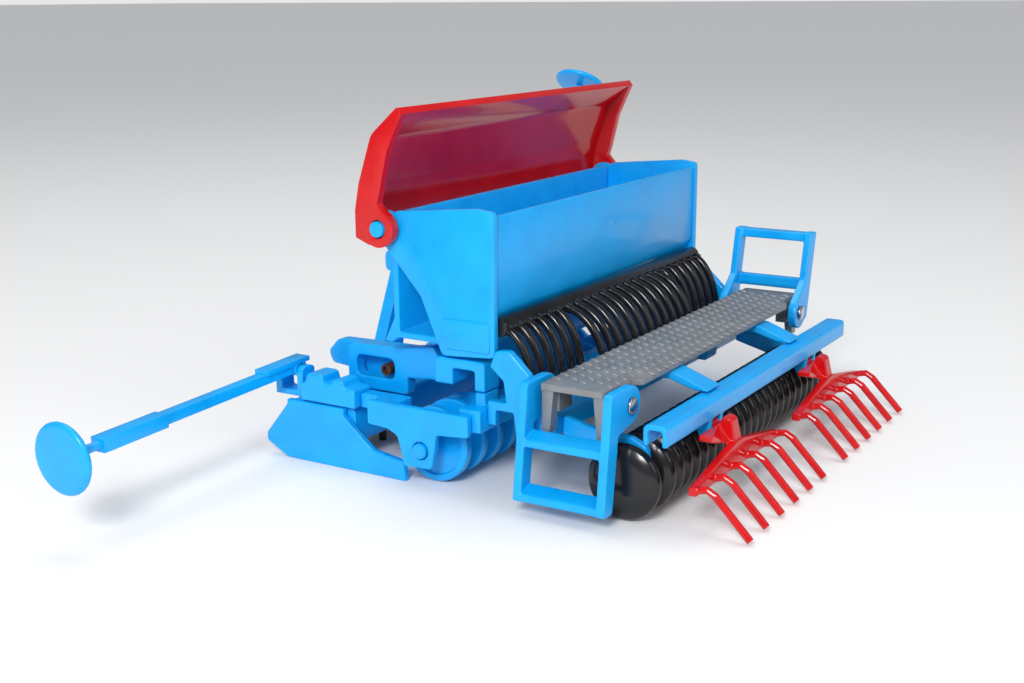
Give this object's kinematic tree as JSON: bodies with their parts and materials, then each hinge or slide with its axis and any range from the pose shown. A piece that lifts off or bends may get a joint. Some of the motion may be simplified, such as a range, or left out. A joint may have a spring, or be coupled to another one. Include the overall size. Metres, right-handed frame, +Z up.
{
  "type": "toy seed drill",
  "caption": "Toy seed drill on a power harrow: hopper with open red lid, black seed tubes, rollers, platform with ladder, folding marker arms and red rakes.",
  "frame": {"origin": "middle of the model's box, on the floor", "axes": "+X towards the tractor hitch, +Y to the machine's left, the side with the ladder, +Z up"},
  "size_m": [0.1116, 0.1962, 0.0759],
  "materials": {
    "blue_paint": "satin",
    "red_plastic": "gloss",
    "black_plastic": "gloss",
    "grey_plastic": "satin",
    "steel": "satin",
    "brown_pin": "satin"
  },
  "bodies": {
    "frame": {"hopper_tub": "blue_paint", "hopper_end_left": "blue_paint", "hopper_end_right": "blue_paint", "harrow_trough": "blue_paint", "harrow_side_left": "blue_paint", "harrow_side_right": "blue_paint", "harrow_cap_left": "blue_paint", "harrow_cap_right": "blue_paint", "headstock": "blue_paint", "headstock_brace_left": "blue_paint", "headstock_brace_right": "blue_paint", "drill_beam": "blue_paint", "link_arm_left": "blue_paint", "link_arm_right": "blue_paint", "coupling_plate_left": "blue_paint", "coupling_plate_right": "blue_paint", "hopper_foot_left": "blue_paint", "hopper_foot_right": "blue_paint", "roller_arm_left": "blue_paint", "roller_arm_right": "blue_paint", "scraper_bar": "blue_paint", "coulter_beam": "blue_paint", "carrier_left": "blue_paint", "carrier_right": "blue_paint", "disc_arm_left": "blue_paint", "disc_arm_right": "blue_paint", "rear_bar": "blue_paint", "bar_arm_left": "blue_paint", "bar_arm_right": "blue_paint", "marker_bracket_left": "blue_paint", "marker_bracket_right": "blue_paint", "seed_tubes": "black_plastic", "harrow_tines": "black_plastic", "platform": "grey_plastic", "coupling_pin_left": "brown_pin", "coupling_pin_right": "brown_pin", "ladder_pin_left_front": "steel", "ladder_pin_left_rear": "steel", "ladder_pin_right_front": "steel", "ladder_pin_right_rear": "steel"},
    "lid": {"lid": "red_plastic"},
    "packer_roller": {"packer_roller": "blue_paint"},
    "disc_roller": {"disc_roller": "black_plastic"},
    "ladder": {"ladder": "blue_paint"},
    "guard_rail": {"guard_rail": "blue_paint"},
    "marker_left": {"marker_arm_left": "blue_paint", "marker_disc_left": "blue_paint"},
    "rake_left": {"rake_left": "red_plastic"},
    "marker_right": {"marker_arm_right": "blue_paint", "marker_disc_right": "blue_paint"},
    "rake_right": {"rake_right": "red_plastic"}
  },
  "joints": [
    {"name": "lid_hinge", "type": "hinge", "parent": "frame", "child": "lid", "pos_m": [0.02315, -0.01183, 0.0512], "axis": [0, -1, 0], "range_deg": [0, 61]},
    {"name": "packer_roller_spin", "type": "hinge", "parent": "frame", "child": "packer_roller", "pos_m": [0.01245, -0.01183, 0.0079], "axis": [0, 1, 0], "continuous": true},
    {"name": "disc_roller_spin", "type": "hinge", "parent": "frame", "child": "disc_roller", "pos_m": [-0.03015, -0.01183, 0.0076], "axis": [0, 1, 0], "continuous": true},
    {"name": "ladder_hinge", "type": "hinge", "parent": "frame", "child": "ladder", "pos_m": [-0.02085, 0.03287, 0.02195], "axis": [1, 0, 0], "range_deg": [0, 100]},
    {"name": "guard_rail_hinge", "type": "hinge", "parent": "frame", "child": "guard_rail", "pos_m": [-0.02085, -0.05653, 0.02195], "axis": [1, 0, 0], "range_deg": [0, 38]},
    {"name": "marker_left_fold", "type": "hinge", "parent": "frame", "child": "marker_left", "pos_m": [0.04885, 0.03417, 0.019], "axis": [1, 0, 0], "range_deg": [0, 92]},
    {"name": "marker_right_fold", "type": "hinge", "parent": "frame", "child": "marker_right", "pos_m": [0.04885, -0.05783, 0.019], "axis": [-1, 0, 0], "range_deg": [-57, 33]},
    {"name": "rake_left_lift", "type": "hinge", "parent": "frame", "child": "rake_left", "pos_m": [-0.03855, 0.01477, 0.0144], "axis": [0, 1, 0], "range_deg": [0, 15]},
    {"name": "rake_right_lift", "type": "hinge", "parent": "frame", "child": "rake_right", "pos_m": [-0.03855, -0.03843, 0.0144], "axis": [0, 1, 0], "range_deg": [0, 15]}
  ]
}
